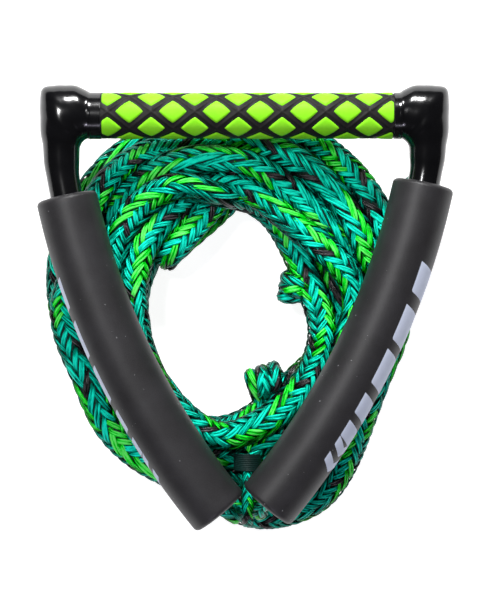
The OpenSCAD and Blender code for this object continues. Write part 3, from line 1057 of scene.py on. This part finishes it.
def grip_sleeve(material):
    """The rubber between the pads, with ridges along the middles of its bands."""
    along, around = SLEEVE_STEPS
    x = np.linspace(GRIP_ENDS[0] + SLEEVE_GAP, GRIP_ENDS[1] - SLEEVE_GAP, along)
    a = np.arange(around) / around * 2 * math.pi
    x, a = np.meshgrid(x, a, indexing="ij")
    gx = (x - PAD_PHASE) / PAD_PITCH
    ga = (a - PAD_TURN) / (2 * math.pi / PAD_ROWS) / 2
    first, second = gx + ga + 0.5, gx - ga + 0.5
    off = np.minimum(np.abs(first - np.round(first)), np.abs(second - np.round(second)))
    ridge = np.exp(-((off / RIDGE_W) ** 2)) * RIDGE_HIGH
    r = GRIP_D / 2 - PAD_PROUD + ridge - SLEEVE_SUNK
    verts = on_grip(x, a, r).reshape(-1, 3)
    piece = mesh_object("grip_lattice", verts * MM, strip_faces(along, around, 0, closed=True), [material])
    fitted(piece, "handle", "grip_black", "grip_sleeve")


def rubber_material(name, stops, rough, grain):
    n = Nodes(name)
    fine = n.noise(n.place(), grain, 3.0)
    broad = n.noise(n.place(), 45.0, 2.0)
    n.bump(fine, 0.25, 0.0003)
    return n.set(
        Base_Color=n.ramp(n.math("MULTIPLY_ADD", broad, 0.7, n.math("MULTIPLY", fine, 0.3)), stops),
        Roughness=rough, Specular_IOR_Level=0.16,
    )


# --- Rope ends ------------------------------------------------------------------------

EYE_R = 8.9
THROAT_HALF = EYE_D / 2 + 0.1
# Where the eye's turn has its points, from the way to the coil.
EYE_ANGLES = np.radians(np.arange(75, 286, 21))
# The bridle's free bight, from the left float's bore to the right one's.
BIGHT = [
    (-17, -116.3, 67), (-12.4, -119.4, 63.6), (-6, -124.4, 56.5), (-6.4, -123.8, 48), (-6.6, -121.4, 41),
    (-3, -120.5, 36.3), HINGE_AT, (7, -120.5, 36.3), (10.4, -120.5, 41), (10.9, -121.7, 48), (9, -121.5, 56),
    (11.8, -115.7, 63.2), (15.5, -112.4, 66.8),
]
KNOT_ROPE_D = 9.5
# A knot's wraps run this far along its axis each way, and its ends go this far back into the coil.
KNOT_HALF = 9
KNOT_R = 6.8
KNOT_WRAPS = 2.4
KNOT_FROM = 0.6
KNOT_STEPS = 22
KNOT_BACK = 17
# Each knot: its middle, its axis, the way back into the coil, and its size.
UPPER_KNOT = ((31.5, 21, 30), (0.15, 1, 0.1), (1, 0, -0.3), 0.76)
LOWER_KNOT = ((14.5, -40, 27), (1, 0.35, -0.1), (0.3, -1, -0.3), 1.0)
WHIP_LONG = 12
# How far the boat-end whipping's near end is from TOW_AT.
TOW_WHIP_FROM = 9.6


def bridle_half(leg):
    """Half of the bridle's line: from the middle of the bar through the elbow and down the leg."""
    points = [(0.5, BAR_Y), (45, BAR_Y), (leg_x(leg) - ELBOW_R - 8, BAR_Y)]
    points += [on_elbow(leg, a) for a in range(90, 0, -15)]
    points += [on_leg(leg, leg["lean"] * f) for f in (0, 0.5)]
    points += [float_point(leg, d) for d in np.linspace(0, leg["length"] - 10, 10)]
    return [(leg["side"] * x, y, HANDLE_Z) for x, y in points]


def eye_points():
    x, y, z = HINGE_AT
    turn = [(y + EYE_R * math.cos(a), EYE_R * math.sin(a)) for a in EYE_ANGLES]
    near = [(THROAT_Y + 4, THROAT_HALF - 1), (THROAT_Y - 7, THROAT_HALF + 2)]
    path = near + turn + [(y, -h) for y, h in reversed(near)]
    return [(x, y, z + h) for y, h in path]


def tow_points():
    """The boat-end loop, open a little, from its whipping round and back."""
    half = [(1.5, -14), (4.6, -7), (6.6, 0), (6.6, 15), (6.6, 29), (4.7, 33.7)]
    path = half + [(0, 35.6)] + [(-x, y) for x, y in reversed(half)]
    c, s = math.cos(TOW_TURN), math.sin(TOW_TURN)
    return [(TOW_AT[0] + c * x - s * y, TOW_AT[1] + s * x + c * y, TOW_D / 2 + REST_GAP) for x, y in path]


def knot_points(centre, axis, back, size):
    """A stopper knot's wraps round an axis, with both its ends led back into the coil."""
    centre, axis, back = (np.array(v, float) for v in (centre, axis, back))
    axis, back = unit(axis), unit(back)
    third = np.cross(axis, back)
    ends = [centre + KNOT_BACK * back + half * size * axis for half in (KNOT_HALF, -KNOT_HALF)]
    wraps = []
    for t in np.linspace(0, 1, KNOT_STEPS):
        a = 2 * math.pi * KNOT_WRAPS * t + KNOT_FROM
        out = math.cos(a) * back + math.sin(a) * third
        wraps.append(centre + size * (KNOT_HALF * (1 - 2 * t) * axis + KNOT_R * out))
    return [tuple(p) for p in [ends[0], *wraps, ends[1]]]


def tow_whip_end(down):
    """A point on the boat-end whipping's axis, down from TOW_AT."""
    x, y = TOW_AT
    return x + math.sin(TOW_TURN) * down, y - math.cos(TOW_TURN) * down, WHIP_D / 2 + REST_GAP


# --- Making ---------------------------------------------------------------------------

camera()
studio()
fibres = rope_materials()
rope, line = main_rope(fibres)
thread = rubber_material("whipping", ((0.3, (0.003, 0.014, 0.012)), (0.7, (0.006, 0.03, 0.026))), 0.5, 1500.0)
eye = small_rope("rope_eye_braid", eye_points(), (1, 0, 0), EYE_D, fibres, "rope", "rope_eye")
tow = small_rope("tow_loop_braid", tow_points(), (0, 0, 1), TOW_D, fibres, "rope", "tow_loop")
for at, knot in (("upper", UPPER_KNOT), ("lower", LOWER_KNOT)):
    points, node = knot_points(*knot), f"rope_knot_{at}"
    small_rope(f"knot_{at}_wraps", points, (0, 0, 1), KNOT_ROPE_D, fibres, "rope", node)
fold = bight(fibres)
x, y, z = HINGE_AT[0], THROAT_Y, HINGE_AT[2]
tow_whip = [tow_whip_end(TOW_WHIP_FROM + d) for d in (0, WHIP_LONG)]
whips = [
    whipping("eye_whipping_thread", (x, y, z), (x, y + WHIP_LONG, z), WHIP_D, thread),
    whipping("tow_whipping_thread", *tow_whip, WHIP_D, thread),
]
bridle = bridle_half(LEGS["left"]) + BIGHT + bridle_half(LEGS["right"])[::-1]
small_rope("bridle_braid", bridle, (0, 0, 1), BRIDLE_D, fibres, "handle", "bridle_rope", step=1.5)
foam = foam_material()
pale = rubber_material("float_print", ((0.3, (0.50, 0.55, 0.68)), (0.7, (0.58, 0.63, 0.76))), 0.6, 900.0)
black_gloss = gloss_material("boot_black", (0.0025, 0.0025, 0.003))
for side, leg in LEGS.items():
    body = "float_l" if side == "left" else "float_r"
    boot(side, leg, black_gloss)
    foam_float(side, leg, foam, body)
    float_print(side, leg, pale, body)
greens = ((0.3, (0.21, 0.70, 0.010)), (0.7, (0.28, 0.80, 0.02)))
grip_pads(rubber_material("grip_green", greens, 0.5, 700.0))
blacks = ((0.3, (0.008, 0.007, 0.007)), (0.7, (0.014, 0.013, 0.013)))
grip_sleeve(rubber_material("grip_black", blacks, 0.5, 900.0))
cap_gloss = gloss_material("cap_black", (0.003, 0.003, 0.0035))
kept = {"end_cap_left": cap_gloss, "end_cap_right": cap_gloss, "bar_tube": metal_material()}
for name, material in kept.items():
    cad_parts[name].data.materials.clear()
    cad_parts[name].data.materials.append(material)
